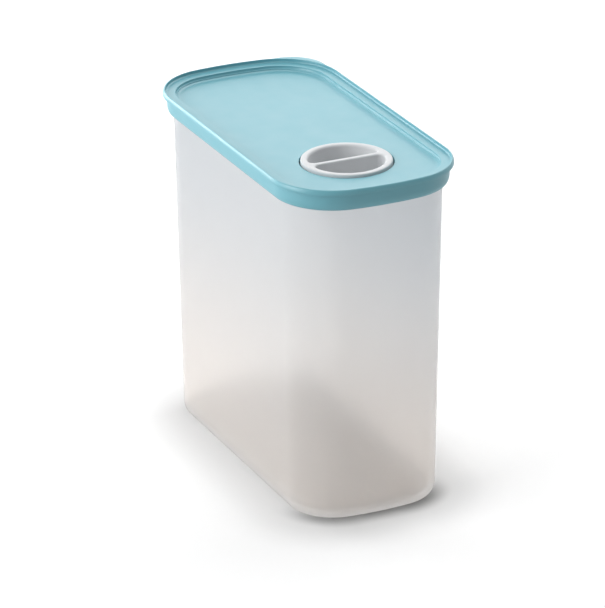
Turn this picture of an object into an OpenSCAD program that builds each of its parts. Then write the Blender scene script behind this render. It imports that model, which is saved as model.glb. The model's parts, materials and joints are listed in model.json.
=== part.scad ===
// Tall pantry container for cereal or pasta, with a press-on lid and a rocking pour cap.
// X runs along the container with the pour cap towards +X, Z is up, and the origin is
// the centre of the foot that the container stands on. Millimetres.

/* [Container] */
// Length of the container's outside at the rim
body_length = 191.5; // [180:0.5:210]
// Width of the container's outside at the rim
body_width = 89.5; // [84:0.5:96]
// Height of the rim above the table
rim_height = 185.3; // [120:0.1:260]
// Radius of the four upright corners at the rim
corner_r = 29.2; // [24:0.1:32]
// Radius of the two gently bowed end walls at the rim
end_bow_r = 165.6; // [130:0.1:240]
// Thickness of the side walls
wall = 1.6; // [1.2:0.1:2]
// Thickness of the floor
floor_t = 2.0; // [1.4:0.1:3]
// How far the walls lean in from the rim to the foot
draft_inset = 2.9; // [0.5:0.1:4]
// Height of the rounding between the walls and the foot
base_round_h = 5.7; // [3:0.1:8]
// Depth of the same rounding, measured inwards
base_round_in = 3.0; // [1.5:0.1:4]
// Width of the flat foot that runs round under the floor
foot_w = 5.0; // [3:0.1:8]
// Height of the hollow under the floor, inside the foot
foot_recess = 1.6; // [0.8:0.1:3]
// Radius inside, where the walls meet the floor
floor_round = 5.0; // [3:0.1:7]
// How far the bead round the rim stands out
rim_bead = 0.8; // [0.4:0.1:1.2]
// Height of the bead round the rim
rim_bead_h = 4.0; // [2.5:0.1:5]

/* [Lid] */
// Gap between the lid's skirt and the rim bead
skirt_gap = 0.25; // [0.2:0.05:0.5]
// Wall of the skirt
skirt_wall = 1.4; // [1.2:0.1:2]
// Room inside the skirt, outside the rim bead
skirt_room = 1.4; // [1.3:0.1:2]
// Depth of the skirt below the rim of the container
skirt_drop = 8.6; // [7.5:0.1:12]
// Height over which the skirt rounds in at its lower edge
skirt_round_h = 4.0; // [3:0.1:4.6]
// How far the lip stands out from the skirt
lip_out = 2.2; // [1.5:0.1:4]
// Thickness of the raised edge of the lip
lip_t = 1.3; // [1:0.1:1.8]
// Height of the lip from its underside to its crest
lip_h = 2.9; // [2.5:0.1:3.4]
// Height of the lip's crest above the ledge inside it
ledge_drop = 2.1; // [1.2:0.1:2.4]
// Thickness of the lid over the rim and in its panel
lid_t = 1.4; // [1.2:0.1:2]
// Gap between the lid's sealing wall and the container's inside
plug_gap = 0.3; // [0.25:0.05:0.5]
// Thickness of the sealing wall
plug_wall = 1.3; // [1:0.1:1.8]
// Depth of the sealing wall below the rim
plug_drop = 7.0; // [5.5:0.1:9]
// Depth of the sunk panel below the ledge
panel_drop = 2.65; // [2:0.05:3.5]
// Width of the hollow curve between the panel and the ledge
step_run = 2.6; // [1.5:0.1:3.2]
// How far the lift tab stands out at its corner
tab_out = 3.9; // [2:0.1:5]
// Radius of the lift tab's edge
tab_r = 20.4; // [16:0.1:24]

/* [Pour cap] */
// Distance of the pour cap's centre from the end of the container's rim
spout_inset = 45.25; // [40:0.25:52]
// Radius of the cap's rounded edge
cap_r = 24.35; // [20:0.05:26]
// Gap between the cap and the well it rocks in
cap_gap = 0.5; // [0.4:0.05:0.8]
// Height of the cap's rim above the panel
cap_proud = 1.35; // [0.8:0.05:2]
// Depth of the pivot below the panel
pivot_drop = 3.2; // [3.2:0.05:4.5]
// Depth of the cap's underside below the pivot
cap_below = 7.0; // [6:0.1:8]
// Thickness of the cap under the finger dishes
cap_floor = 1.4; // [1.1:0.1:1.6]
// Width of the rim round the finger dishes, at the foot of their rounded mouths
rim_band = 4.2; // [4:0.05:6]
// Radius of the cap's upper edge
cap_edge = 0.8; // [0.4:0.1:1]
// Thickness of the web between the finger dishes
web_t = 3.0; // [2:0.1:5]
// Radius between the walls of a dish and its floor
dish_round = 2.5; // [1.5:0.1:4]
// Radius between the web and the round wall of a dish
dish_corner = 3.0; // [1.5:0.1:5]
// Radius of the mouth of a dish, where its wall meets the rim
mouth_round = 1.3; // [0.6:0.1:1.4]
// Radius of the pins that the cap rocks on
pin_r = 2.0; // [1.5:0.05:2.1]
// Clearance round the pins
pin_fit = 0.05; // [0.02:0.01:0.08]
// How far the pins stand out from the cap
pin_len = 2.6; // [1.8:0.1:3]
// Wall of the round well in the lid
well_wall = 1.5; // [1.2:0.1:2]
// Height of the seat that stops the cap's front half
seat_h = 1.4; // [1:0.1:2]
// Width of the seat
seat_w = 2.45; // [1.8:0.05:3]
// Gap between the closed cap and its seat
seat_gap = 0.1; // [0.05:0.05:0.3]

/* [Hidden] */
$fn = 96;
// Steps in each small rounding of a section
round_steps = 5;
// Small rounding that breaks a moulded edge
edge_r = 0.5;
// How far a cut runs past the surface that it opens
overrun = 1;
// Share of the skirt's wall that is left where it rounds in to its lower edge
skirt_edge_share = 0.7;
// Steps round each corner of the plan, and along each bowed end
corner_steps = 14;
bow_steps = 6;

// Plan outline of the rim: straight sides, round corners and bowed ends, all tangent
half_width = body_width / 2;
corner_y = half_width - corner_r;
end_x = body_length / 2 - end_bow_r;
end_reach = end_bow_r - corner_r;
corner_x = end_x + sqrt(end_reach * end_reach - corner_y * corner_y);
end_angle = atan2(corner_y, corner_x - end_x);

// Offsets from the rim's outside, outwards positive
skirt_edge_in = rim_bead + skirt_gap;
skirt_in = rim_bead + skirt_room;
skirt_out = skirt_in + skirt_wall;
skirt_edge_out = skirt_edge_in + skirt_edge_share * skirt_wall;
lip_edge = skirt_out + lip_out;
plug_out = -wall - plug_gap;
plug_in = plug_out - plug_wall;
step_foot = plug_in - edge_r;
step_top = step_foot + step_run;
foot_edge = -draft_inset - base_round_in;

// Width and height of the rounding on the lip's outer side
nose_w = lip_t - edge_r / 2;
nose_h = lip_h - 3 * edge_r / 2;
// Height of the hollow curve that rises from the panel to the ledge
step_rise = panel_drop - edge_r / 2;

// Heights
floor_top = foot_recess + floor_t;
ledge_z = rim_height + lid_t;
crest_z = ledge_z + ledge_drop;
lip_under_z = crest_z - lip_h;
panel_z = ledge_z - panel_drop;
skirt_low_z = rim_height - skirt_drop;
plug_low_z = rim_height - plug_drop;
pivot_z = panel_z - pivot_drop;
seat_top = -cap_below - seat_gap;
seat_low = seat_top - seat_h;
well_low = seat_low - edge_r;

// Place of the pour cap's centre along the container
spout_x = body_length / 2 - spout_inset;

// Radii of the pour cap and its well, and heights measured from the cap's pivot
cap_above = cap_proud + pivot_drop;
dish_r = cap_r - rim_band;
dish_floor = cap_floor - cap_below;
well_r = cap_r + cap_gap;
pin_root = (dish_r + cap_r) / 2;
pin_end = cap_r + pin_len;
socket_end = pin_end + cap_gap / 2;
boss_end = socket_end + edge_r;
// The bosses round the sockets end just below the surface of the panel
boss_cover = 0.1;
boss_r = pivot_drop - boss_cover;
// Half the angle over which the seat runs, centred on the front of the well
seat_angle = 60;

// Points along an arc or a quarter ellipse of a section
function arc(centre, radii, from, to) =
    [for (i = [0:round_steps])
        let (a = from + (to - from) * i / round_steps)
        [centre[0] + radii[0] * cos(a), centre[1] + radii[1] * sin(a)]];

// Points round the plan, each as the centre of its arc, the rim's radius there and the
// angle that faces outwards. The second half is the first half turned by 180 degrees.
half_stations = concat(
    [for (i = [0:bow_steps]) [[end_x, 0], end_bow_r, end_angle * (2 * i / bow_steps - 1)]],
    [for (i = [1:corner_steps])
        [[corner_x, corner_y], corner_r, end_angle + (90 - end_angle) * i / corner_steps]],
    [for (i = [0:corner_steps - 1])
        [[-corner_x, corner_y], corner_r, 90 + (90 - end_angle) * i / corner_steps]]
);
stations = concat(half_stations, [for (s = half_stations) [-s[0], s[1], s[2] + 180]]);

// How far the lift tab stands out at a station: a rounder arc over one far corner
tab_centre = corner_r + lip_edge + tab_out - tab_r;
function tab_bulge(s) =
    let (turn = s[2] - 135, across = tab_centre * sin(turn))
    turn > -45 && turn < 45 && tab_r > abs(across)
        ? max(0, tab_centre * cos(turn) + sqrt(tab_r * tab_r - across * across)
            - corner_r - lip_edge)
        : 0;

// Where a section's point lies at a station: offset from the rim, height, share of the tab
function placed(p, s) =
    let (reach = s[1] + p[0] + (p[2] == 1 ? tab_bulge(s) : 0))
    [s[0][0] + reach * cos(s[2]), s[0][1] + reach * sin(s[2]), p[1]];

// Carries a section round the plan. The section runs from the edge of the inside floor,
// out over the rim and down, and back in to the edge of the underside.
module carried_round(section) {
    count = len(stations);
    last = len(section) - 1;
    polyhedron(
        points = [for (p = section) for (s = stations) placed(p, s)],
        faces = concat(
            [[for (c = [count - 1:-1:0]) c]],
            [for (r = [0:last - 1]) for (c = [0:count - 1])
                let (next = (c + 1) % count)
                [r * count + c, r * count + next, (r + 1) * count + next, (r + 1) * count + c]],
            [[for (c = [0:count - 1]) last * count + c]]
        ),
        convexity = 6
    );
}

container_section = concat(
    arc([-draft_inset - wall - floor_round, floor_top + floor_round],
        [floor_round, floor_round], -90, 0),
    [[-wall, rim_height - edge_r], [edge_r - wall, rim_height]],
    arc([rim_bead - edge_r, rim_height - edge_r], [edge_r, edge_r], 90, 0),
    [[rim_bead, rim_height - rim_bead_h], [0, rim_height - rim_bead_h - rim_bead]],
    arc([foot_edge, base_round_h], [base_round_in, base_round_h], 0, -90),
    [[foot_edge - foot_w, 0], [foot_edge - foot_w - foot_recess, foot_recess]]
);

module container_body() {
    color([0.86, 0.88, 0.91, 0.7]) carried_round(container_section);
}

// The raised edge of the lip, then the skirt, then the sealing wall
lid_section = concat(
    arc([step_foot, panel_z + step_rise], [step_run, step_rise], -90, 0),
    [[step_top + edge_r / 2, ledge_z]],
    [[lip_edge - lip_t - edge_r, ledge_z], [lip_edge - lip_t, ledge_z + edge_r]],
    [[lip_edge - lip_t, crest_z - edge_r / 2]],
    [for (p = arc([lip_edge - nose_w, crest_z - nose_h], [nose_w, nose_h], 90, 0))
        [p[0], p[1], 1]],
    [for (p = arc([lip_edge - edge_r, lip_under_z + edge_r], [edge_r, edge_r], 0, -90))
        [p[0], p[1], 1]],
    [[skirt_out + edge_r, lip_under_z], [skirt_out, lip_under_z - edge_r]],
    arc([skirt_edge_out, skirt_low_z + skirt_round_h],
        [skirt_out - skirt_edge_out, skirt_round_h], 0, -90),
    [[skirt_edge_in, skirt_low_z], [skirt_edge_in, skirt_low_z + edge_r]],
    [[skirt_in, skirt_low_z + skirt_round_h], [skirt_in, rim_height], [plug_out, rim_height]],
    [[plug_out, plug_low_z + edge_r], [plug_out - edge_r, plug_low_z], [plug_in, plug_low_z]],
    [[plug_in, panel_z - lid_t]]
);

// Everything on the lid that is centred on the cap's pivot
module pour_well() {
    translate([0, 0, well_low])
        cylinder(r = well_r + well_wall, h = pivot_drop - lid_t / 2 - well_low);
    for (side = [-1, 1])
        rotate([-90 * side, 0, 0]) cylinder(r = boss_r, h = boss_end);
}

module pour_seat() {
    rotate([0, 0, -seat_angle])
        rotate_extrude(angle = 2 * seat_angle)
            translate([well_r - seat_w, seat_low]) square([seat_w + well_wall / 2, seat_h]);
}

module pin_sockets() {
    for (side = [-1, 1])
        rotate([-90 * side, 0, 0]) cylinder(r = pin_r + pin_fit, h = socket_end);
}

module lid() {
    color([0.70, 0.85, 0.88])
        union() {
            difference() {
                union() {
                    carried_round(lid_section);
                    translate([spout_x, 0, pivot_z]) pour_well();
                }
                translate([spout_x, 0, pivot_z]) {
                    translate([0, 0, well_low - overrun])
                        cylinder(r = well_r, h = pivot_drop - well_low + 2 * overrun);
                    pin_sockets();
                }
            }
            translate([spout_x, 0, pivot_z]) pour_seat();
        }
}

// The cap before its dishes: a slice of a ball about the pivot, so that its edge clears
// the well at every angle, with a rounded upper edge
module cap_blank() {
    edge_z = cap_above - cap_edge;
    edge_x = sqrt(cap_r * cap_r - edge_z * edge_z);
    intersection() {
        sphere(cap_r);
        rotate_extrude()
            polygon(concat(
                [[0, -cap_below], [cap_r + overrun, -cap_below], [cap_r + overrun, edge_z]],
                arc([edge_x - cap_edge, edge_z], [cap_edge, cap_edge], 0, 90),
                [[0, cap_above]]
            ));
    }
}

// The round bowl that the web divides into two finger dishes
module dish_bowl() {
    depth = cap_above - dish_floor;
    translate([0, 0, dish_floor])
        rotate_extrude()
            polygon(concat(
                [[0, 0]],
                arc([dish_r - dish_round, dish_round], [dish_round, dish_round], -90, 0),
                arc([dish_r + mouth_round, depth - mouth_round], [mouth_round, mouth_round], 180, 90),
                [[dish_r + mouth_round, depth + overrun], [0, depth + overrun]]
            ));
}

// Plan of the web, which widens in a round corner where it meets the wall
module web_plan() {
    corner_cx = web_t / 2 + dish_corner;
    corner_reach = dish_r - dish_corner;
    corner_cy = sqrt(corner_reach * corner_reach - corner_cx * corner_cx);
    mouth_reach = dish_r + mouth_round + overrun;
    beyond = mouth_reach / corner_reach;
    square([web_t, 2 * mouth_reach], center = true);
    for (mx = [0, 1])
        for (my = [0, 1])
            mirror([mx, 0]) mirror([0, my])
                difference() {
                    polygon([
                        [0, corner_cy],
                        [corner_cx, corner_cy],
                        [corner_cx * beyond, corner_cy * beyond],
                        [0, corner_cy * beyond]
                    ]);
                    translate([corner_cx, corner_cy]) circle(dish_corner);
                }
}

module cap_pins() {
    for (side = [-1, 1])
        rotate([-90 * side, 0, 0])
            translate([0, 0, pin_root])
                cylinder(r = pin_r, h = pin_end - pin_root);
}

module flip_cap() {
    color([0.93, 0.94, 0.95])
        translate([spout_x, 0, pivot_z])
            union() {
                difference() {
                    cap_blank();
                    difference() {
                        dish_bowl();
                        translate([0, 0, -cap_below]) linear_extrude(2 * cap_below) web_plan();
                    }
                }
                cap_pins();
            }
}

container_body();
lid();
flip_cap();
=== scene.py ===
"""Looks of a tall pantry container with a press-on lid and a rocking pour cap.

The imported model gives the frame: where the pieces are, how long, wide and high they are and
where the cap pivots. This script builds each piece again as a fine, smoothly rounded mesh,
dresses it in its plastic, and sets up a plain studio round it.

Lengths are in millimetres until a mesh is finished, and in metres from there on. A section is
drawn as offsets from the outside of the container's rim, outwards positive, against heights.
"""

from __future__ import annotations

import json
import logging
import math
from dataclasses import dataclass
from enum import Enum
from typing import Any, Iterable, Sequence

import bmesh
import bpy
import numpy as np
from mathutils import Matrix, Vector


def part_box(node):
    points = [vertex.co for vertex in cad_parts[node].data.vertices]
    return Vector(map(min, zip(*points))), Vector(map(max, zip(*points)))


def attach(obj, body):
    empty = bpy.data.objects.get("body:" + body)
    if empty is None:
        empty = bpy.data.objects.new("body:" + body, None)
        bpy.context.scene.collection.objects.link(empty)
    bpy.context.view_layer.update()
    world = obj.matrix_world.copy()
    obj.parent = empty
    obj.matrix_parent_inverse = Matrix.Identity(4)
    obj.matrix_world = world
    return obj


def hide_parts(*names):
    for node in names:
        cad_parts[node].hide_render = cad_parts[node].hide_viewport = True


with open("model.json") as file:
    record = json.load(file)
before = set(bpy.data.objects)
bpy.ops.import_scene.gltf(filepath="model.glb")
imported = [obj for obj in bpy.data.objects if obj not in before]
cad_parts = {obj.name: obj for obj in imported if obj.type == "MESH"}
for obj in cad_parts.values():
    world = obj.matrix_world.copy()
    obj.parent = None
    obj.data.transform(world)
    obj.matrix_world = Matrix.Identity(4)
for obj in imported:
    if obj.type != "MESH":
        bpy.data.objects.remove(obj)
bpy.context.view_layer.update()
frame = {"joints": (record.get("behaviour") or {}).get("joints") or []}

MM = 0.001
SHARP_ANGLE = math.radians(40)
MERGE_DISTANCE = 1e-4
ROUND_STEPS = 96
CAP_STEPS = 128
ROD_STEPS = 48
WHITE = (1.0, 1.0, 1.0, 1.0)

log = logging.getLogger("pantry_container")


# ---- plan and sections


@dataclass(frozen=True)
class Corner:
    """A corner of a section, rounded when its radius isn't 0.

    Attributes:
        offset: Distance outwards from the rim's outside.
        height: Height above the table.
        radius: Radius of the rounding.
        tab_share: How much of the lift tab's bulge the corner takes, from 0 to 1.
    """

    offset: float
    height: float
    radius: float = 0.0
    tab_share: float = 0.0


def direction(degrees: float) -> tuple[float, float]:
    """Returns the cosine and sine of an angle."""
    return math.cos(math.radians(degrees)), math.sin(math.radians(degrees))


def quarter(steps: int) -> list[tuple[float, float]]:
    """Returns the cosines and sines of equal steps from 0 to 90 degrees."""
    return [direction(90 * i / steps) for i in range(steps + 1)]


def ellipse_arc(
    centre: tuple[float, float],
    radii: tuple[float, float],
    start: float,
    end: float,
    steps: int = 10,
    tab_share: float = 0.0,
) -> list[Corner]:
    """Returns plain corners along an arc of an ellipse.

    Args:
        centre: Offset and height of its centre.
        radii: Its radii along the offset and the height.
        start: Angle in degrees where the arc starts.
        end: Angle in degrees where it ends.
        steps: Number of segments.
        tab_share: How much of the lift tab's bulge it takes.

    Returns:
        The corners, both ends included.
    """
    turns = [direction(start + (end - start) * i / steps) for i in range(steps + 1)]
    return [
        Corner(centre[0] + radii[0] * x, centre[1] + radii[1] * y, tab_share=tab_share)
        for x, y in turns
    ]


def rounded(
    corners: Sequence[Corner], steps: int = 5, hold: float = 0.3, most: float = 0.48
) -> np.ndarray:
    """Rounds the corners of a section and adds rows that hold its flats flat.

    Args:
        corners: The section from one end to the other.
        steps: Segments in each rounding.
        hold: Distance from a rounding at which a flat gets an extra row.
        most: Share of a flat that a rounding may take up at most.

    Returns:
        One row per point: offset, height and share of the lift tab.
    """
    count = len(corners)
    places = [np.array([c.offset, c.height]) for c in corners]
    rows: list[list[np.ndarray]] = []
    for i, corner in enumerate(corners):
        if corner.radius == 0 or i in (0, count - 1):
            rows.append([places[i]])
            continue
        back, ahead = places[i - 1] - places[i], places[i + 1] - places[i]
        back_length, ahead_length = np.linalg.norm(back), np.linalg.norm(ahead)
        back, ahead = back / back_length, ahead / ahead_length
        half = 0.5 * math.acos(float(np.clip(back @ ahead, -1, 1)))
        reach = min(corner.radius / math.tan(half), most * back_length, most * ahead_length)
        radius = reach * math.tan(half)
        bisector = (back + ahead) / np.linalg.norm(back + ahead)
        centre = places[i] + bisector * radius / math.sin(half)
        first = places[i] + back * reach - centre
        last = places[i] + ahead * reach - centre
        turn = math.acos(float(np.clip(first @ last / radius**2, -1, 1)))
        shares = [k / steps for k in range(steps + 1)]
        weights = [(math.sin(turn * (1 - t)), math.sin(turn * t)) for t in shares]
        whole = math.sin(turn)
        rows.append([centre + a / whole * first + b / whole * last for a, b in weights])
    out: list[tuple[float, float, float]] = []
    for i, corner in enumerate(corners):
        out += [(float(p[0]), float(p[1]), corner.tab_share) for p in rows[i]]
        if i + 1 < count:
            here, there = rows[i][-1], rows[i + 1][0]
            length = float(np.linalg.norm(there - here))
            if length > 4 * hold:
                for t in (hold / length, 1 - hold / length):
                    p = here + (there - here) * t
                    share = corner.tab_share + (corners[i + 1].tab_share - corner.tab_share) * t
                    out.append((float(p[0]), float(p[1]), share))
    return np.array(out)


@dataclass(frozen=True)
class RimPlan:
    """The plan of the container's rim: straight sides, round corners and bowed ends.

    Attributes:
        half_length: Half the length over the bowed ends.
        half_width: Half the width over the straight sides.
        corner_radius: Radius of the corners.
        bow_radius: Radius of the bowed ends.
        corner_steps: Segments in each corner.
        bow_steps: Segments in each bowed end.
    """

    half_length: float
    half_width: float
    corner_radius: float = 29.2
    bow_radius: float = 165.6
    corner_steps: int = 26
    bow_steps: int = 18

    def stations(self) -> tuple[np.ndarray, np.ndarray, np.ndarray]:
        """Walks round the plan.

        Returns:
            The points on the rim, the directions that face outwards there and the angles of
            those directions in degrees, anticlockwise from +X.
        """
        corner_y = self.half_width - self.corner_radius
        bow_x = self.half_length - self.bow_radius
        corner_x = bow_x + math.sqrt((self.bow_radius - self.corner_radius) ** 2 - corner_y**2)
        bow_angle = math.degrees(math.atan2(corner_y, corner_x - bow_x))
        sweep = 90 - bow_angle
        walk = [
            (bow_x, 0.0, self.bow_radius, bow_angle * (2 * i / self.bow_steps - 1))
            for i in range(self.bow_steps + 1)
        ]
        walk += [
            (corner_x, corner_y, self.corner_radius, bow_angle + sweep * i / self.corner_steps)
            for i in range(1, self.corner_steps + 1)
        ]
        walk += [
            (-corner_x, corner_y, self.corner_radius, 90 + sweep * i / self.corner_steps)
            for i in range(self.corner_steps)
        ]
        walk += [(-x, -y, radius, angle + 180) for x, y, radius, angle in walk]
        centre_x, centre_y, radii, angles = np.array(walk).T
        turns, level = np.radians(angles), np.zeros(len(walk))
        centres = np.column_stack([centre_x, centre_y, level])
        outward = np.column_stack([np.cos(turns), np.sin(turns), level])
        return centres + radii[:, None] * outward, outward, angles


# ---- geometry nodes


def linked(name: str, data: bpy.types.ID) -> bpy.types.Object:
    """Makes an object of a mesh, lamp or camera and links it to the scene."""
    obj = bpy.data.objects.new(name, data)
    bpy.context.scene.collection.objects.link(obj)
    return obj


class Nodes:
    """Adds nodes to a tree: type, settings first, then the values or links of its sockets."""

    def __init__(self, tree: bpy.types.NodeTree) -> None:
        """Keeps the tree that the nodes go into."""
        self.tree = tree

    def add(
        self,
        kind: str,
        settings: dict[str, Any] | None = None,
        numbered: dict[int, Any] | None = None,
        **named: Any,
    ) -> bpy.types.Node:
        """Adds one node.

        Args:
            kind: The node's type, such as "ShaderNodeTexNoise".
            settings: Its properties, set before the sockets.
            numbered: Values or output sockets by input number, where names repeat.
            **named: Values or output sockets by input name, with _ for a space.

        Returns:
            The node.
        """
        node = self.tree.nodes.new(kind)
        for name, value in (settings or {}).items():
            setattr(node, name, value)
        for number, value in (numbered or {}).items():
            self.feed(node.inputs[number], value)
        for name, value in named.items():
            self.feed(node.inputs[name.replace("_", " ")], value)
        return node

    def feed(self, socket: bpy.types.NodeSocket, value: Any) -> None:
        """Links an output to a socket, or sets the socket's own value."""
        if isinstance(value, Value):
            value = value.socket
        if isinstance(value, bpy.types.NodeSocket):
            self.tree.links.new(value, socket)
        else:
            socket.default_value = value

    def mixed(self, share: Any, first: Any, second: Any) -> bpy.types.NodeSocket:
        """Mixes two colours, from the first where the share is 0 to the second where it is 1."""
        colours = {6: first, 7: second}
        return self.add("ShaderNodeMix", {"data_type": "RGBA"}, colours, Factor=share).outputs[2]


class Value:
    """A number that a node gives, with the usual operators, each of which adds a Math node."""

    def __init__(self, nodes: Nodes, socket: bpy.types.NodeSocket) -> None:
        """Wraps an output socket."""
        self.nodes = nodes
        self.socket = socket

    def _math(self, operation: str, first: Any, second: Any) -> Value:
        """Adds a Math node on two values or numbers."""
        terms = {0: first, 1: second}
        node = self.nodes.add("ShaderNodeMath", {"operation": operation}, terms)
        return Value(self.nodes, node.outputs[0])

    def __add__(self, other: Any) -> Value:
        """Adds."""
        return self._math("ADD", self, other)

    def __sub__(self, other: Any) -> Value:
        """Subtracts."""
        return self._math("SUBTRACT", self, other)

    def __rsub__(self, other: Any) -> Value:
        """Subtracts from a number."""
        return self._math("SUBTRACT", other, self)

    def __mul__(self, other: Any) -> Value:
        """Multiplies."""
        return self._math("MULTIPLY", self, other)

    __radd__ = __add__
    __rmul__ = __mul__

    def eased(self, start: float, end: float, first: float, last: float) -> Value:
        """Goes smoothly from one number to another as this value goes from start to end.

        Args:
            start: This value where the result is the first number.
            end: This value where it is the last number.
            first: The first number.
            last: The last number.

        Returns:
            The result, which stays the same beyond both ends.
        """
        node = self.nodes.add(
            "ShaderNodeMapRange",
            {"interpolation_type": "SMOOTHSTEP"},
            Value=self,
            From_Min=start,
            From_Max=end,
            To_Min=first,
            To_Max=last,
        )
        return Value(self.nodes, node.outputs["Result"])


def emptied(holder: bpy.types.Material | bpy.types.World) -> Nodes:
    """Clears the node tree of a material or world, ready for new nodes."""
    holder.use_nodes = True
    holder.node_tree.nodes.clear()
    return Nodes(holder.node_tree)


def camera_and_seen(nodes: Nodes) -> tuple[Value, Value]:
    """Tells rays that carry a picture from rays that only carry light.

    Args:
        nodes: The nodes of a world or material.

    Returns:
        1 for a camera ray, and 1 for a ray from the camera, a gloss or a clear plastic.
    """
    path = nodes.add("ShaderNodeLightPath").outputs
    camera = Value(nodes, path["Is Camera Ray"])
    return camera, camera + path["Is Glossy Ray"] + path["Is Transmission Ray"]


def section_sweep_tree() -> bpy.types.NodeTree:
    """Builds the Geometry Nodes tree that carries a section round the plan.

    The path's points hold the outward direction and the lift tab's shape there, the section's
    points hold their offset, height and share of the tab, and each point of the result is put
    where the two say.

    Returns:
        The tree, with the inputs Section, Tab Reach and Finish.
    """
    tree = bpy.data.node_groups.new("section_sweep", "GeometryNodeTree")
    for name, way, kind in (
        ("Geometry", "INPUT", "Geometry"),
        ("Section", "INPUT", "Object"),
        ("Tab Reach", "INPUT", "Float"),
        ("Finish", "INPUT", "Material"),
        ("Geometry", "OUTPUT", "Geometry"),
    ):
        tree.interface.new_socket(name, in_out=way, socket_type="NodeSocket" + kind)
    nodes = Nodes(tree)
    given = nodes.add("NodeGroupInput")
    section = nodes.add("GeometryNodeObjectInfo", Object=given.outputs["Section"])
    path_curve = nodes.add("GeometryNodeMeshToCurve", Mesh=given.outputs["Geometry"])
    section_curve = nodes.add("GeometryNodeMeshToCurve", Mesh=section.outputs["Geometry"])
    swept = nodes.add(
        "GeometryNodeCurveToMesh",
        Curve=path_curve.outputs["Curve"],
        Profile_Curve=section_curve.outputs["Curve"],
    )

    def stored(name: str, kind: str = "FLOAT_VECTOR") -> bpy.types.NodeSocket:
        """Reads a named attribute of the result."""
        node = nodes.add("GeometryNodeInputNamedAttribute", {"data_type": kind}, Name=name)
        return next(s for s in node.outputs if s.enabled)

    def total(first: Any, second: Any) -> bpy.types.NodeSocket:
        """Adds two vectors."""
        terms = {0: first, 1: second}
        return nodes.add("ShaderNodeVectorMath", {"operation": "ADD"}, terms).outputs[0]

    place = nodes.add("ShaderNodeSeparateXYZ", Vector=stored("section_place"))
    bulge = Value(nodes, stored("tab_shape", "FLOAT")) * given.outputs["Tab Reach"]
    offset = Value(nodes, place.outputs["X"]) + bulge * place.outputs["Z"]
    outward = nodes.add(
        "ShaderNodeVectorMath", {"operation": "SCALE"}, {0: stored("outward")}, Scale=offset
    )
    level = nodes.add("ShaderNodeCombineXYZ", Z=place.outputs["Y"])
    point = total(total(stored("rim_point"), outward.outputs[0]), level.outputs[0])
    placed = nodes.add("GeometryNodeSetPosition", Geometry=swept.outputs["Mesh"], Position=point)
    smooth = nodes.add("GeometryNodeSetShadeSmooth", Geometry=placed.outputs["Geometry"])
    real = nodes.add("GeometryNodeRealizeInstances", Geometry=smooth.outputs["Geometry"])
    dressed = nodes.add(
        "GeometryNodeSetMaterial",
        Geometry=real.outputs["Geometry"],
        Material=given.outputs["Finish"],
    )
    nodes.add("NodeGroupOutput", Geometry=dressed.outputs["Geometry"])
    return tree


def line_object(name: str, points: np.ndarray, closed: bool) -> bpy.types.Object:
    """Makes an object of edges only, through points in order.

    Args:
        name: The object's name.
        points: One row per point, in millimetres.
        closed: Whether the last point joins the first.

    Returns:
        The object, linked to the scene.
    """
    count = len(points)
    edges = [(i, (i + 1) % count) for i in range(count if closed else count - 1)]
    mesh = bpy.data.meshes.new(name)
    mesh.from_pydata([tuple(p) for p in points], edges, [])
    return linked(name, mesh)


def store(obj: bpy.types.Object, name: str, values: np.ndarray) -> None:
    """Stores a number or a vector for each point of an object's mesh.

    Args:
        obj: The object.
        name: The attribute's name.
        values: One number or one row of three for each point.
    """
    kind, part = ("FLOAT_VECTOR", "vector") if values.ndim == 2 else ("FLOAT", "value")
    data = obj.data.attributes.new(name, kind, "POINT").data
    data.foreach_set(part, values.ravel())


def swept_shell(
    name: str,
    plan: RimPlan,
    section: np.ndarray,
    finish: bpy.types.Material,
    tab_shape: np.ndarray | None = None,
    tab_reach: float = 0.0,
) -> bpy.types.Mesh:
    """Carries a section round the plan with Geometry Nodes.

    Args:
        name: The mesh's name.
        plan: The plan of the rim.
        section: Offset, height and tab share of each point of the section.
        finish: The material of the result.
        tab_shape: The lift tab's shape at each station, from 0 to 1.
        tab_reach: How far the tab stands out where its shape is 1.

    Returns:
        A plain mesh, open along the section's two ends.
    """
    points, outward, _ = plan.stations()
    path = line_object(name + "_path", points, closed=True)
    store(path, "rim_point", points)
    store(path, "outward", outward)
    store(path, "tab_shape", np.zeros(len(points)) if tab_shape is None else tab_shape)
    flat = np.column_stack([section[:, 0], section[:, 1], np.zeros(len(section))])
    profile = line_object(name + "_section", flat, closed=False)
    store(profile, "section_place", section)
    tree = bpy.data.node_groups.get("section_sweep") or section_sweep_tree()
    modifier = path.modifiers.new("sweep", "NODES")
    modifier.node_group = tree
    inputs = {s.name: s.identifier for s in tree.interface.items_tree if s.in_out == "INPUT"}
    modifier[inputs["Section"]] = profile
    modifier[inputs["Tab Reach"]] = tab_reach
    modifier[inputs["Finish"]] = finish
    evaluated = path.evaluated_get(bpy.context.evaluated_depsgraph_get())
    mesh = bpy.data.meshes.new_from_object(evaluated)
    mesh.name = name
    path.modifiers.remove(modifier)
    for helper in (path, profile):
        bpy.data.objects.remove(helper)
    return mesh


# ---- mesh helpers


def ring(bm: bmesh.types.BMesh, points: Iterable[Sequence[float]]) -> list[bmesh.types.BMVert]:
    """Adds one vertex for each point."""
    return [bm.verts.new(p) for p in points]


def skin(bm: bmesh.types.BMesh, rows: Sequence[Sequence[bmesh.types.BMVert]]) -> None:
    """Joins each closed row of vertices to the next one with four-sided faces.

    Args:
        bm: The mesh.
        rows: Rows of as many vertices each.
    """
    for upper, lower in zip(rows, rows[1:]):
        for i in range(len(upper)):
            j = (i + 1) % len(upper)
            bm.faces.new((upper[i], upper[j], lower[j], lower[i]))


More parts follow.
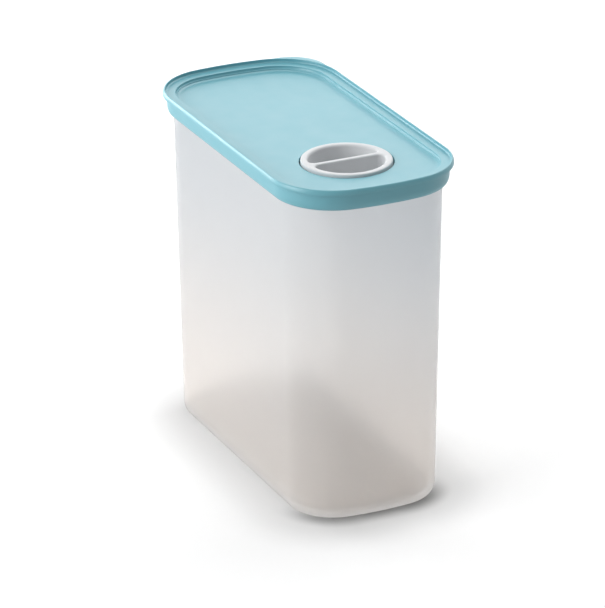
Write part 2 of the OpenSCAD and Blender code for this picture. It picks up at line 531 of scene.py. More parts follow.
def tube(bm: bmesh.types.BMesh, rows: Iterable[Iterable[Sequence[float]]]) -> None:
    """Adds a solid whose side runs through closed rows of points and whose ends are flat.

    Args:
        bm: The mesh.
        rows: The points of each row, from one end to the other.
    """
    rings = [ring(bm, row) for row in rows]
    skin(bm, rings)
    bm.faces.new(rings[0])
    bm.faces.new(rings[-1])


def circle_points(
    centre: tuple[float, float], radius: float, height: float, steps: int = ROUND_STEPS
) -> list[tuple[float, float, float]]:
    """Returns points round a level circle."""
    turns = [2 * math.pi * i / steps for i in range(steps)]
    return [
        (centre[0] + radius * math.cos(t), centre[1] + radius * math.sin(t), height) for t in turns
    ]


def loop_edges(
    bm: bmesh.types.BMesh, vertices: Sequence[bmesh.types.BMVert]
) -> list[bmesh.types.BMEdge]:
    """Returns the edges that join each vertex to the next one round a loop."""
    pairs = zip(vertices, list(vertices[1:]) + [vertices[0]])
    return [bm.edges.get(pair) or bm.edges.new(pair) for pair in pairs]


def open_loops(bm: bmesh.types.BMesh) -> list[list[bmesh.types.BMEdge]]:
    """Finds the open boundaries of a shell.

    Args:
        bm: The shell.

    Returns:
        The edges of each boundary, lowest boundary first.
    """
    waiting = {e for e in bm.edges if e.is_boundary}
    loops = []
    while waiting:
        group, front = [], [waiting.pop()]
        while front:
            edge = front.pop()
            group.append(edge)
            for vertex in edge.verts:
                near = [e for e in vertex.link_edges if e in waiting]
                waiting.difference_update(near)
                front += near
        loops.append(group)
    return sorted(loops, key=lambda group: group[0].verts[0].co.z)


def finished(bm: bmesh.types.BMesh, name: str, finish: bpy.types.Material) -> bpy.types.Object:
    """Turns a closed shell in millimetres into a smooth object in metres, faces outwards.

    Args:
        bm: The shell, which is freed.
        name: The object's name.
        finish: Its material.

    Returns:
        The object, linked to the scene, at the origin.
    """
    bmesh.ops.remove_doubles(bm, verts=bm.verts, dist=MERGE_DISTANCE)
    bmesh.ops.recalc_face_normals(bm, faces=bm.faces)
    if bm.calc_volume(signed=True) < 0:
        bmesh.ops.reverse_faces(bm, faces=bm.faces)
    bmesh.ops.scale(bm, vec=(MM, MM, MM), verts=bm.verts)
    for face in bm.faces:
        face.smooth = True
        face.material_index = 0
    mesh = bpy.data.meshes.new(name)
    bm.to_mesh(mesh)
    bm.free()
    mesh.set_sharp_from_angle(angle=SHARP_ANGLE)
    mesh.materials.clear()
    mesh.materials.append(finish)
    return linked(name, mesh)


class Cut(Enum):
    """What a Boolean modifier does with its second object."""

    ADD = "UNION"
    TAKE = "DIFFERENCE"


def combine(obj: bpy.types.Object, tool: bpy.types.Object, cut: Cut) -> None:
    """Adds a tool object to a piece or takes it away, and removes the tool.

    Args:
        obj: The piece, whose mesh is replaced.
        tool: The object to add or take away.
        cut: Which of the two.
    """
    modifier = obj.modifiers.new("combine", "BOOLEAN")
    modifier.operation = cut.value
    modifier.solver = "EXACT"
    modifier.object = tool
    evaluated = obj.evaluated_get(bpy.context.evaluated_depsgraph_get())
    mesh = bpy.data.meshes.new_from_object(evaluated)
    obj.modifiers.remove(modifier)
    bpy.data.objects.remove(tool)
    mesh.name = obj.data.name
    mesh.set_sharp_from_angle(angle=SHARP_ANGLE)
    obj.data = mesh


def rod(
    name: str,
    pivot: Vector,
    reach: tuple[float, float],
    radius: float,
    finish: bpy.types.Material,
    edge: float = 0.3,
) -> bpy.types.Object:
    """Makes a round rod with softened ends on the line of the cap's pins.

    Args:
        name: The object's name.
        pivot: The cap's pivot, in millimetres.
        reach: Places of its two ends along Y.
        radius: Its radius.
        finish: Its material.
        edge: Radius of the softened edges.

    Returns:
        The rod as an object in metres.
    """
    start, end = (pivot + Vector((0, y, 0)) for y in reach)
    length = (end - start).length
    core = 0.2
    corners = [
        Corner(core, 0),
        Corner(radius, 0, edge),
        Corner(radius, length, edge),
        Corner(core, length),
    ]
    section = rounded(corners)
    turn = (end - start).to_track_quat("Z", "Y").to_matrix().to_4x4()
    bm = bmesh.new()
    tube(bm, [circle_points((0, 0), r, h, ROD_STEPS) for r, h, _ in section])
    bmesh.ops.transform(bm, matrix=Matrix.Translation(start) @ turn, verts=bm.verts)
    return finished(bm, name, finish)


# ---- finishes


@dataclass(frozen=True)
class MouldedPlastic:
    """A moulded plastic: a little cloudiness in its colour and a fine satin grain.

    Attributes:
        name: The material's name.
        colour: Linear base colour.
        cloud: How much the colour changes from cloud to cloud.
        cloud_scale: Clouds per metre.
        roughness: Mean roughness.
        roughness_swing: How much the roughness changes over the surface.
        patch_scale: Patches of equal roughness per metre.
        grain_per_metre: Scale of the satin grain.
        grain_depth: Height of the grain, in metres.
        specular: Specular level, where 0.5 is what the refraction alone gives.
        clearness: Transmission of light, from 0 to 1.
        refraction: Index of refraction.
    """

    name: str
    colour: tuple[float, float, float]
    cloud: float = 0.03
    cloud_scale: float = 28.0
    roughness: float = 0.38
    roughness_swing: float = 0.06
    patch_scale: float = 86.8
    grain_per_metre: float = 1900.0
    grain_depth: float = 0.00001
    specular: float = 0.5
    clearness: float = 0.0
    refraction: float = 1.49

    def build(self) -> bpy.types.Material:
        """Builds the node material.

        Returns:
            The material.
        """
        material = bpy.data.materials.new(self.name)
        nodes = emptied(material)
        place = nodes.add("ShaderNodeTexCoord").outputs["Object"]
        clouds, grain, patches = (
            nodes.add("ShaderNodeTexNoise", Vector=place, Scale=scale, Detail=detail).outputs["Fac"]
            for scale, detail in (
                (self.cloud_scale, 3.0),
                (self.grain_per_metre, 1.0),
                (self.patch_scale, 2.0),
            )
        )
        dark = (*(c * (1 - self.cloud) for c in self.colour), 1.0)
        light = (*(min(1.0, c * (1 + self.cloud)) for c in self.colour), 1.0)
        tint = nodes.mixed(clouds, dark, light)
        bump = nodes.add("ShaderNodeBump", Strength=1.0, Distance=self.grain_depth, Height=grain)
        smoothest = self.roughness - self.roughness_swing
        shader = nodes.add(
            "ShaderNodeBsdfPrincipled",
            Base_Color=self.shaded(nodes, tint, place),
            Roughness=smoothest + 2 * self.roughness_swing * Value(nodes, patches),
            IOR=self.refraction,
            Specular_IOR_Level=self.specular,
            Transmission_Weight=self.clearness,
            Normal=bump.outputs["Normal"],
        )
        nodes.add("ShaderNodeOutputMaterial", Surface=shader.outputs["BSDF"])
        return material

    def shaded(self, nodes: Nodes, colour: Any, place: Any) -> Any:
        """Returns the base colour as it is; a finish that varies over a piece changes it."""
        return colour


@dataclass(frozen=True)
class MilkyPlastic(MouldedPlastic):
    """Milky see-through plastic, cooler under the lid and warmer towards the foot, with painted
    shade darkening the foot itself.

    Attributes:
        low_colour: Linear colour that the plastic drifts to at its foot.
        drift_height: Height in metres over which it drifts.
        foot_shade_depth: How much painted shade darkens the foot, where it stands on the table.
        foot_height: Height in metres over which that painted shade fades out.
    """

    low_colour: tuple[float, float, float] = (0.80, 0.775, 0.755)
    drift_height: float = 0.17
    foot_shade_depth: float = 0.25
    foot_height: float = 0.010

    def shaded(self, nodes: Nodes, colour: Any, place: Any) -> Any:
        """Blends the lower part's colour and the foot's painted shade into the base colour by
        height.

        Args:
            nodes: The material's nodes.
            colour: The base colour.
            place: The place on the piece.

        Returns:
            The blended colour.
        """
        height = Value(nodes, nodes.add("ShaderNodeSeparateXYZ", Vector=place).outputs["Z"])
        # The foot's colour is painted shade: the lower colour darkened where the foot meets the
        # table.
        foot = tuple(c * (1 - self.foot_shade_depth) for c in self.low_colour)
        for shade, reach in ((self.low_colour, self.drift_height), (foot, self.foot_height)):
            colour = nodes.mixed(height.eased(0.0, reach, 1.0, 0.0), colour, (*shade, 1.0))
        return colour


MILKY_BODY = MilkyPlastic(
    "milky_plastic",
    colour=(0.68, 0.695, 0.71),
    cloud=0.02,
    roughness=0.4,
    clearness=0.86,
    refraction=1.1,
)
AQUA_LID = MouldedPlastic(
    "aqua_plastic", colour=(0.092, 0.325, 0.39), roughness=0.42, specular=0.95
)
WHITE_CAP = MouldedPlastic(
    "white_plastic", colour=(0.62, 0.635, 0.65), cloud=0.01, roughness=0.45, specular=0.2
)


# ---- the pieces


@dataclass
class ContainerBody:
    """The container: one thin-walled moulding that stands on a foot ring.

    Attributes:
        plan: The plan of its rim.
        rim_height: Height of the rim.
        wall: Thickness of the walls.
        draft: How far the walls lean in from the rim to the foot.
        floor_top: Height of the floor's upper side.
        foot_recess: Height of the hollow under the floor.
        foot_width: Width of the foot ring.
        foot_rounding: Depth and height of the rounding above the foot.
        floor_radius: Radius where the walls meet the floor.
        floor_run: How far in from the walls the section reaches under and over the floor.
        bead: How far the bead round the rim stands out.
        bead_height: Height of that bead.
    """

    plan: RimPlan
    rim_height: float
    wall: float = 1.6
    draft: float = 2.9
    floor_top: float = 3.6
    foot_recess: float = 1.6
    foot_width: float = 5.0
    foot_rounding: tuple[float, float] = (3.0, 5.7)
    floor_radius: float = 5.0
    floor_run: float = 11.0
    bead: float = 0.8
    bead_height: float = 4.0

    def section(self) -> np.ndarray:
        """Draws the section from the floor, over the rim and down to the hollow underneath.

        Returns:
            Offset, height and tab share of each point.
        """
        inner_foot = -self.draft - self.wall
        middle = inner_foot - self.floor_run
        foot = -self.draft - self.foot_rounding[0]
        bead_low = self.rim_height - self.bead_height
        corners = [
            Corner(middle, self.floor_top),
            Corner(inner_foot, self.floor_top, self.floor_radius),
            Corner(-self.wall, self.rim_height, 0.5),
            Corner(self.bead, self.rim_height, 0.5),
            Corner(self.bead, bead_low, 0.4),
            Corner(0.0, bead_low - self.bead, 0.6),
            *ellipse_arc((foot, self.foot_rounding[1]), self.foot_rounding, 0, -90),
            Corner(foot - self.foot_width, 0.0, 0.4),
            Corner(foot - self.foot_width - self.foot_recess, self.foot_recess, 0.6),
            Corner(middle, self.foot_recess),
        ]
        return rounded(corners)

    def build(self, finish: bpy.types.Material) -> bpy.types.Object:
        """Makes the closed shell of the container.

        Args:
            finish: Its material.

        Returns:
            The piece.
        """
        bm = bmesh.new()
        bm.from_mesh(swept_shell("container_sweep", self.plan, self.section(), finish))
        for edges in open_loops(bm):
            bmesh.ops.holes_fill(bm, edges=edges, sides=0)
        return finished(bm, "container_shell", finish)


@dataclass
class PressOnLid:
    """The lid: a raised lip, ledge and sunk panel, a skirt, a sealing wall and the pour well.

    A size that isn't listed is the one that its name gives.

    Attributes:
        plan: The plan of the container's rim.
        rim_height: Height of that rim, on which the lid sits.
        spout_x: Distance of the pour well from the lid's centre.
        pivot_height: Height of the cap's pivot.
        lip_edge: Outer edge of the lip, from the rim.
        crest: Height of the lip's crest.
        ledge_drop: Depth of the ledge below the crest.
        panel_drop: How much lower the panel lies than if it lay on the rim.
        panel_run: How far the section reaches in over the panel.
        step_run: Run of the slope from the ledge down to the panel.
        step_inset: How far the slope's foot lies inside the sealing wall.
        step_lift: Height of the upright bit between the slope and the ledge.
        nose_margin: Width and height of the lip that its rounded nose leaves.
        skirt_edge: Inner edge of the skirt's lower end, from the rim.
        skirt_taper: Share of the skirt's wall that its lower end keeps.
        plug_outside: Outside of the sealing wall, from the rim.
        tab_reach: How far the lift tab stands out at its middle.
        tab_angle: Direction of the corner that the tab is on, in degrees.
        well_depth: Depth of the well's lower end below the pivot.
        seat_lift: Height of the seat's underside above the well's lower end.
        seat_half_angle: Angle that the seat takes up on each side of +X, in degrees.
        socket_start: Where the tool that bores a pin's socket starts, from the well's centre.
        boss_start: Where the boss round a socket starts, inside the well's wall.
    """

    plan: RimPlan
    rim_height: float
    spout_x: float
    pivot_height: float
    lip_edge: float
    crest: float
    thickness: float = 1.4
    ledge_drop: float = 2.1
    panel_drop: float = 2.65
    panel_run: float = 8.0
    step_run: float = 2.6
    step_inset: float = 0.5
    step_lift: float = 0.2
    lip_thickness: float = 1.3
    lip_height: float = 2.9
    lip_overhang: float = 2.2
    nose_margin: tuple[float, float] = (0.25, 0.45)
    skirt_wall: float = 1.4
    skirt_drop: float = 8.6
    skirt_rounding: float = 4.0
    skirt_edge: float = 1.05
    skirt_taper: float = 0.7
    plug_outside: float = -1.9
    plug_wall: float = 1.3
    plug_drop: float = 7.0
    tab_reach: float = 3.9
    tab_radius: float = 20.4
    tab_angle: float = 135.0
    well_radius: float = 24.85
    well_wall: float = 1.5
    well_depth: float = 9.0
    seat_width: float = 2.45
    seat_height: float = 1.4
    seat_lift: float = 0.5
    seat_half_angle: float = 60.0
    socket_radius: float = 2.05
    socket_start: float = 23.35
    socket_end: float = 27.2
    boss_radius: float = 3.1
    boss_start: float = 25.25
    boss_end: float = 27.7

    @property
    def panel_height(self) -> float:
        """Height of the sunk panel's upper side."""
        return self.rim_height + self.thickness - self.panel_drop

    def section(self) -> np.ndarray:
        """Draws the section from the panel, over the lip and down to the panel's underside.

        Returns:
            Offset, height and tab share of each point.
        """
        skirt_out = self.lip_edge - self.lip_overhang
        skirt_in = skirt_out - self.skirt_wall
        skirt_low = self.rim_height - self.skirt_drop
        edge_out = self.skirt_edge + self.skirt_taper * self.skirt_wall
        lip_in = self.lip_edge - self.lip_thickness
        lip_low = self.crest - self.lip_height
        ledge = self.crest - self.ledge_drop
        plug_in = self.plug_outside - self.plug_wall
        plug_low = self.rim_height - self.plug_drop
        step_foot = plug_in - self.step_inset
        middle = step_foot - self.panel_run
        step_rise = ledge - self.panel_height - self.step_lift
        nose = (self.lip_thickness - self.nose_margin[0], self.lip_height - self.nose_margin[1])
        step_centre = (step_foot, self.panel_height + step_rise)
        nose_centre = (self.lip_edge - nose[0], self.crest - nose[1])
        skirt_centre = (edge_out, skirt_low + self.skirt_rounding)
        skirt_curve = (skirt_out - edge_out, self.skirt_rounding)
        corners = [
            Corner(middle, self.panel_height),
            *ellipse_arc(step_centre, (self.step_run, step_rise), -90, -4),
            Corner(step_foot + self.step_run, ledge, 0.35),
            Corner(lip_in, ledge, 0.9),
            Corner(lip_in, self.crest, 0.25),
            *ellipse_arc(nose_centre, nose, 90, 0, tab_share=1.0),
            Corner(self.lip_edge, lip_low, 0.4, 1.0),
            Corner(skirt_out, lip_low, 0.6),
            *ellipse_arc(skirt_centre, skirt_curve, 0, -90),
            Corner(self.skirt_edge, skirt_low, 0.2),
            Corner(self.skirt_edge, skirt_low + 0.6, 0.3),
            Corner(skirt_in, skirt_low + self.skirt_rounding, 0.6),
            Corner(skirt_in, self.rim_height, 0.4),
            Corner(self.plug_outside, self.rim_height, 0.4),
            Corner(self.plug_outside, plug_low, 0.5),
            Corner(plug_in, plug_low, 0.4),
            Corner(plug_in, self.panel_height - self.thickness, 0.6),
            Corner(middle, self.panel_height - self.thickness),
        ]
        return rounded(corners)

    def tab_shape(self) -> np.ndarray:
        """Works out the lift tab's shape in plan: a rounder arc over one far corner.

        Returns:
            Its bulge at each station, from 0 to 1.
        """
        _, _, angles = self.plan.stations()
        outside = self.plan.corner_radius + self.lip_edge
        centre = outside + self.tab_reach - self.tab_radius
        turn = np.radians(angles - self.tab_angle)
        across = centre * np.sin(turn)
        chord = np.sqrt(np.maximum(self.tab_radius**2 - across**2, 0))
        reach = centre * np.cos(turn) + chord - outside
        near = (np.abs(angles - self.tab_angle) < 45) & (np.abs(across) < self.tab_radius)
        return np.where(near, np.maximum(reach, 0), 0) / self.tab_reach

    def build(self, finish: bpy.types.Material) -> bpy.types.Object:
        """Makes the closed shell of the lid with its well, seat and pivot sockets.

        Args:
            finish: Its material.

        Returns:
            The piece.
        """
        tab = (self.tab_shape(), self.tab_reach)
        bm = bmesh.new()
        bm.from_mesh(swept_shell("lid_sweep", self.plan, self.section(), finish, *tab))
        underside, panel = open_loops(bm)
        centre = (self.spout_x, 0.0)
        well = [ring(bm, circle_points(centre, r, h)) for r, h, _ in self.well_section()]
        skin(bm, well)
        bmesh.ops.triangle_fill(bm, edges=panel + loop_edges(bm, well[0]), use_beauty=True)
        bmesh.ops.triangle_fill(bm, edges=underside + loop_edges(bm, well[-1]), use_beauty=True)
        lid = finished(bm, "lid_shell", finish)
        combine(lid, self.seat(finish), Cut.ADD)
        pivot = Vector((self.spout_x, 0, self.pivot_height))
        for side in (-1, 1):
            boss = (side * self.boss_start, side * self.boss_end)
            combine(lid, rod("boss", pivot, boss, self.boss_radius, finish), Cut.ADD)
            socket = (side * self.socket_start, side * self.socket_end)
            combine(lid, rod("socket", pivot, socket, self.socket_radius, finish, 0.1), Cut.TAKE)
        return lid

    def well_section(self) -> np.ndarray:
        """Draws the well's wall from the panel, down the bore and back up outside.

        Returns:
            Radius, height and an unused 0 for each point.
        """
        low = self.pivot_height - self.well_depth
        under = self.panel_height - self.thickness
        outside = self.well_radius + self.well_wall
        corners = [
            Corner(self.well_radius + 0.9, self.panel_height),
            Corner(self.well_radius, self.panel_height, 0.5),
            Corner(self.well_radius, low, 0.3),
            Corner(outside, low, 0.3),
            Corner(outside, under, 0.6),
            Corner(outside + 1.2, under),
        ]
        return rounded(corners)

    def seat(self, finish: bpy.types.Material) -> bpy.types.Object:
        """Makes the ledge in the front of the well that stops the closed cap.

        Args:
            finish: Its material.

        Returns:
            The ledge, a little let into the well's wall.
        """
        low = self.pivot_height - self.well_depth + self.seat_lift
        inner, outer = self.well_radius - self.seat_width, self.well_radius + 0.5 * self.well_wall
        corners = [
            Corner(outer, low),
            Corner(inner, low, 0.3),
            Corner(inner, low + self.seat_height, 0.3),
            Corner(outer, low + self.seat_height),
        ]
        section = rounded(corners)
        steps = 48
        turns = [direction(self.seat_half_angle * (2 * i / steps - 1)) for i in range(steps + 1)]
        bm = bmesh.new()
        tube(bm, [[(self.spout_x + r * x, r * y, h) for r, h, _ in section] for x, y in turns])
        return finished(bm, "seat", finish)


@dataclass
class PourCap:
    """The rocking pour cap: a rounded rim, two finger dishes with a web between, two pins.

    A size that isn't listed is the one that its name gives.

    Attributes:
        centre_x: Distance of the cap from the lid's centre.
        pivot_height: Height of its pivot.
        top: Height of its rim above the pivot.
        below: Depth of its underside below the pivot.
        radius: Radius of the ball that its side follows.
        under_edge: Size of its lower edge's rounding.
        dish_radius: Radius of the dishes' round wall, from the cap's centre.
        dish_floor: Height of the dishes' floor above the pivot.
        dish_hold: Distance from a rounding at which a dish's wall gets an extra row.
        corner_radius: Radius of a dish's corners in plan, beside the web.
        pin_root: Where the pins start inside the cap, from its centre.
    """

    centre_x: float
    pivot_height: float
    top: float
    below: float
    radius: float = 24.35
    edge: float = 0.8
    under_edge: float = 0.4
    dish_radius: float = 20.15
    dish_floor: float = -5.6
    dish_hold: float = 0.4
    floor_radius: float = 2.5
    corner_radius: float = 3.0
    web_half: float = 1.5
    web_rounding: float = 0.8
    rim_rounding: float = 1.3
    pin_radius: float = 2.0
    pin_end: float = 26.95
    pin_root: float = 22.2
    edge_steps: int = 6
    side_steps: int = 14
    dish_steps: int = 8

    def dish_outline(self) -> tuple[np.ndarray, np.ndarray, np.ndarray]:
        """Walks round one finger dish in plan, on the +X side of the web.

        Returns:
            The points, the directions out of the dish and the rounding of its mouth there.
        """
        corner_x = self.web_half + self.corner_radius
        corner_y = math.sqrt((self.dish_radius - self.corner_radius) ** 2 - corner_x**2)
        meet = math.degrees(math.atan2(corner_y, corner_x))
        web_steps, corner_steps, wall_steps = 24, 12, 64
        points, normals, mouths = [], [], []

        def put(x: float, y: float, radius: float, turn: float, mouth: float) -> None:
            """Adds a point at a distance from a centre, in a direction given in degrees."""
            out_x, out_y = direction(turn)
            points.append((x + radius * out_x, y + radius * out_y))
            normals.append((out_x, out_y))
            mouths.append(mouth)

        for i in range(wall_steps):
            turn = meet * (2 * i / wall_steps - 1)
            put(0.0, 0.0, self.dish_radius, turn, self.rim_rounding)
        for side in (1, -1):
            for i in range(corner_steps):
                share = i / corner_steps if side > 0 else 1 - i / corner_steps
                turn = side * (meet + (180 - meet) * share)
                mouth = self.rim_rounding + (self.web_rounding - self.rim_rounding) * share
                put(corner_x, side * corner_y, self.corner_radius, turn, mouth)
            if side > 0:
                for i in range(web_steps):
                    along = corner_y * (1 - 2 * i / web_steps)
                    put(self.web_half, along, 0.0, 180, self.web_rounding)
        return np.array(points), np.array(normals), np.array(mouths)

    def dish_rows(self, bm: bmesh.types.BMesh, turned: bool) -> list[bmesh.types.BMVert]:
        """Adds one finger dish, from its rounded mouth down to its floor.

        Args:
            bm: The cap's mesh.
            turned: Whether it is the dish on the -X side.

        Returns:
            The vertices round its mouth.
        """
        points, normals, mouths = self.dish_outline()
        sign = -1.0 if turned else 1.0
        flat = np.ones(len(points))
        turns = quarter(self.dish_steps)
        rounding_top = self.dish_floor + self.floor_radius
        levels = [(mouths * (1 - y), self.top - mouths * (1 - x)) for x, y in turns]
        levels.append((0 * flat, (self.top - self.rim_rounding - self.dish_hold) * flat))
        levels.append((0 * flat, (rounding_top + self.dish_hold) * flat))
        for x, y in turns:
            inset, drop = self.floor_radius * (1 - x), self.floor_radius * y
            levels.append((-inset * flat, (rounding_top - drop) * flat))
        rows = []
        for offsets, heights in levels:
            place = (points + normals * offsets[:, None]) * sign
            rows.append(ring(bm, np.column_stack([place, heights])))
        skin(bm, rows)
        bm.faces.new(rows[-1])
        return rows[0]

    def side_section(self) -> list[tuple[float, float]]:
        """Draws the cap's side from its upper edge down to its underside.

        Returns:
            Radius and height above the pivot of each point.
        """
        edge_height = self.top - self.edge
        edge_radius = math.sqrt(self.radius**2 - edge_height**2)
        section = [
            (edge_radius - self.edge * (1 - x), edge_height + self.edge * y)
            for x, y in reversed(quarter(self.edge_steps))
        ]
        fall = self.under_edge - self.below - edge_height
        for i in range(1, self.side_steps + 1):
            height = edge_height + fall * i / self.side_steps
            section.append((math.sqrt(self.radius**2 - height**2), height))
        low_radius = section[-1][0]
        near = 0.3 * self.under_edge
        section.append((low_radius - near, near - self.below))
        section.append((low_radius - self.under_edge, -self.below))
        return section

    def build(self, finish: bpy.types.Material) -> bpy.types.Object:
        """Makes the closed shell of the cap with its pins.

        Args:
            finish: Its material.

        Returns:
            The piece.
        """
        bm = bmesh.new()
        rows = [ring(bm, circle_points((0, 0), r, h, CAP_STEPS)) for r, h in self.side_section()]
        skin(bm, rows)
        bm.faces.new(rows[-1])
        edges = loop_edges(bm, rows[0])
        for turned in (False, True):
            edges += loop_edges(bm, self.dish_rows(bm, turned))
        bmesh.ops.triangle_fill(bm, edges=edges, use_beauty=True)
        pivot = Vector((self.centre_x, 0, self.pivot_height))
        bmesh.ops.translate(bm, vec=pivot, verts=bm.verts)
        cap = finished(bm, "pour_cap", finish)
        for side in (-1, 1):
            pin = (side * self.pin_root, side * self.pin_end)
            combine(cap, rod("pin", pivot, pin, self.pin_radius, finish), Cut.ADD)
        return cap


# ---- the studio


@dataclass(frozen=True)
class SoftLight:
    """A square soft box that points at the container.

    Attributes:
        name: Its name.
        place: Where it stands, in metres.
        size: Length of its side, in metres.
        power: Its power in watts.
    """

    name: str
    place: tuple[float, float, float]
    size: float
    power: float

    def build(self, aim: Vector) -> None:
        """Sets up the lamp, pointed at a place."""
        lamp = bpy.data.lights.new(self.name, "AREA")
        lamp.shape = "SQUARE"
        lamp.size = self.size
        lamp.energy = self.power
        obj = linked(self.name, lamp)
        obj.location = self.place
        obj.rotation_euler = (aim - Vector(self.place)).to_track_quat("-Z", "Y").to_euler()


@dataclass(frozen=True)
class Studio:
    """A white floor and surround, soft boxes and the camera, with all lengths in metres.

    Attributes:
        foot: Half the foot's length and width and the radius of its corners.
        azimuth: Camera's angle round the object in degrees, from -Y towards +X.
        elevation: Camera's angle above the horizon in degrees.
        roll: Camera's roll in degrees.
        distance: Camera's distance from the place that it looks at.
        focal_pixels: Focal length in pixels of the photograph.
        frame_pixels: Longer side of the photograph in pixels.
        aim: The place that the camera looks at.
        ambient: Strength of the surround's light.
        floor_lift: How much brighter the floor looks to the camera than its light makes it.
        shade_depth: How much painted shadow darkens the floor right beside the foot.
        shade_reach: Distance from the foot at which that painted shadow has gone.
        contact_depth: How much deeper the painted shadow is where the near end stands on it.
        contact_reach: Distance from the foot at which that deeper painted shadow has gone.
        contact_span: Distances along the container over which it sets in.
        haze_reach: Distances from the foot over which the floor goes over into white.
        floor_radius: Radius of the floor.
        floor_grey: Share of the light that the floor gives back.
        lights: The soft boxes.
    """

    foot: tuple[float, float, float]
    azimuth: float = 64.98
    elevation: float = 22.88
    roll: float = -0.305
    distance: float = 2.2295
    focal_pixels: float = 4178.8
    frame_pixels: int = 608
    aim: tuple[float, float, float] = (0.01553, -0.0094, 0.09187)
    ambient: float = 0.24
    floor_lift: float = 0.2
    shade_depth: float = 0.26
    shade_reach: float = 0.045
    contact_depth: float = 0.4
    contact_reach: float = 0.013
    contact_span: tuple[float, float] = (0.06, 0.09)
    haze_reach: tuple[float, float] = (0.9, 2.0)
    floor_radius: float = 6.0
    floor_grey: float = 0.8
    lights: tuple[SoftLight, ...] = (
        SoftLight("top_box", (0.0, 0.0, 1.7), 1.4, 5.5),
        SoftLight("top_back_box", (-0.6, 0.3, 1.6), 1.4, 7.5),
        SoftLight("back_box", (-1.5, 0.7, 0.6), 1.0, 5.0),
        SoftLight("right_back_box", (-0.6, 1.25, 1.25), 1.2, 11.0),
        SoftLight("left_box", (-0.1, -1.7, 0.7), 1.2, 25.0),
        SoftLight("left_back_box", (-1.6, -0.74, 0.4), 0.9, 20.0),
        SoftLight("front_fill", (1.5, -0.7, 1.0), 1.2, 1.2),
    )

    def camera(self) -> None:
        """Places the camera at the photograph's angle."""
        az, el = math.radians(self.azimuth), math.radians(self.elevation)
        back = Vector((math.sin(az) * math.cos(el), -math.cos(az) * math.cos(el), math.sin(el)))
        right = (-back).cross(Vector((0, 0, 1))).normalized()
        up = right.cross(-back)
        roll = math.radians(self.roll)
        tilted_right = math.cos(roll) * right + math.sin(roll) * up
        tilted_up = math.cos(roll) * up - math.sin(roll) * right
        data = bpy.data.cameras.new("camera")
        data.sensor_width = 36.0
        data.lens = data.sensor_width * self.focal_pixels / self.frame_pixels
        data.clip_start = 0.05
        obj = linked("camera", data)
        turn = Matrix((tilted_right, tilted_up, back)).transposed().to_4x4()
        obj.matrix_world = Matrix.Translation(Vector(self.aim) + back * self.distance) @ turn
        bpy.context.scene.camera = obj

    def surround(self) -> None:
        """Lights the scene softly from all round, white where the camera sees it."""
        world = bpy.data.worlds.new("surround")
        bpy.context.scene.world = world
        nodes = emptied(world)
        _, seen = camera_and_seen(nodes)
        strength = self.ambient + (1 - self.ambient) * seen
        glow = nodes.add("ShaderNodeBackground", Color=WHITE, Strength=strength)
        nodes.add("ShaderNodeOutputWorld", Surface=glow.outputs[0])

    def foot_distance(self, nodes: Nodes, place: bpy.types.NodeSocket) -> Value:
        """Works out how far a place on the floor is from the foot.

        Args:
            nodes: The floor material's nodes.
            place: The place.

        Returns:
            The distance in metres, below 0 under the container.
        """
        length, width, corner = self.foot
        zero = (0.0, 0.0, 0.0)
        here = place
        for operation, other in (
            ("ABSOLUTE", zero),
            ("SUBTRACT", (length - corner, width - corner, 0.0)),
            ("MAXIMUM", zero),
            ("LENGTH", zero),
        ):
            node = nodes.add("ShaderNodeVectorMath", {"operation": operation}, {0: here, 1: other})
            here = node.outputs["Value" if operation == "LENGTH" else "Vector"]
        return Value(nodes, here) - corner

    def floor(self) -> None:
        """Lays the white floor, which keeps the container's shadow and, for the camera only, a
        painted shadow round its foot.
        """
        bm = bmesh.new()
        size = {"segments": ROUND_STEPS, "radius": self.floor_radius}
        bmesh.ops.create_circle(bm, cap_ends=True, **size)
        mesh = bpy.data.meshes.new("floor")
        bm.to_mesh(mesh)
        bm.free()
        material = bpy.data.materials.new("studio_floor")
        nodes = emptied(material)
        camera, seen = camera_and_seen(nodes)
        place = nodes.add("ShaderNodeTexCoord").outputs["Object"]
        along = Value(nodes, nodes.add("ShaderNodeSeparateXYZ", Vector=place).outputs["X"])
        away = self.foot_distance(nodes, place)
        # Painted shadow: the camera's view of the floor is darkened softly round the foot and more
        # deeply under the near end.
        soft = away.eased(0.0, self.shade_reach, self.shade_depth, 0.0)
        tight = away.eased(0.0, self.contact_reach, self.contact_depth, 0.0)
        near_end = along.eased(*self.contact_span, 0.0, 1.0)
        shade = 1 - camera * (soft + tight * near_end)
        haze = away.eased(*self.haze_reach, 0.0, 1.0)
        grey = shade * self.floor_grey
        tone = nodes.add("ShaderNodeCombineColor", Red=grey, Green=grey, Blue=grey)
        paper = nodes.add("ShaderNodeBsdfDiffuse", Color=tone.outputs["Color"])
        lift = seen * (self.floor_lift * shade + haze)
        glow = nodes.add("ShaderNodeEmission", Color=WHITE, Strength=lift)
        layers = {0: paper.outputs[0], 1: glow.outputs[0]}
        both = nodes.add("ShaderNodeAddShader", numbered=layers)
        nodes.add("ShaderNodeOutputMaterial", Surface=both.outputs[0])
        mesh.materials.append(material)
        obj = linked("floor", mesh)

    def build(self) -> None:
        """Sets up the camera, the surround, the floor and the lamps."""
        self.camera()
        self.surround()
        self.floor()
        for light in self.lights:
            light.build(Vector(self.aim))


# ---- putting it together


def present(piece: bpy.types.Object, node: str, body: str) -> None:
    """Puts a piece on its body in place of its plain node, and reports it.

    Args:
        piece: The piece.
        node: The node that it stands for.
        body: The body that it moves with.
    """
    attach(piece, body)
    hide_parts(node)
    log.info("%s rides on %s: %d faces", piece.name, body, len(piece.data.polygons))


def box_mm(node: str) -> tuple[Vector, Vector]:
    """Returns a node's lowest and highest corners in millimetres."""
    low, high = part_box(node)
    return low / MM, high / MM


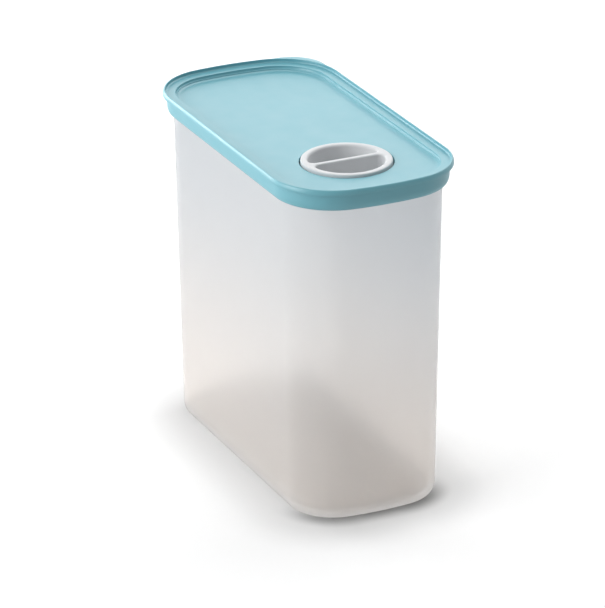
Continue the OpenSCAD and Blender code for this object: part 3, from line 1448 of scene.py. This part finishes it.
def main() -> None:
    """Builds the container, the lid and the pour cap in order, then the studio."""
    logging.basicConfig(level=logging.INFO)
    bpy.context.scene.view_settings.view_transform = "Standard"
    pivot = next(Vector(j["pos_m"]) / MM for j in frame["joints"] if j["name"] == "spout_flip")
    _, body_high = box_mm("container_body")
    _, lid_high = box_mm("lid")
    cap_low, cap_high = box_mm("flip_cap")
    bead = ContainerBody.bead
    plan = RimPlan(half_length=body_high.x - bead, half_width=body_high.y - bead)
    body = ContainerBody(plan, rim_height=body_high.z)
    lid = PressOnLid(
        plan,
        rim_height=body_high.z,
        spout_x=pivot.x,
        pivot_height=pivot.z,
        lip_edge=lid_high.y - plan.half_width,
        crest=lid_high.z,
    )
    cap = PourCap(
        centre_x=pivot.x,
        pivot_height=pivot.z,
        top=cap_high.z - pivot.z,
        below=pivot.z - cap_low.z,
    )
    present(body.build(MILKY_BODY.build()), "container_body", "container")
    present(lid.build(AQUA_LID.build()), "lid", "lid")
    present(cap.build(WHITE_CAP.build()), "flip_cap", "cap")
    lean = body.draft + body.foot_rounding[0]
    foot = (plan.half_length - lean, plan.half_width - lean, plan.corner_radius - lean)
    Studio(foot=tuple(v * MM for v in foot)).build()


if __name__ == "__main__":
    main()
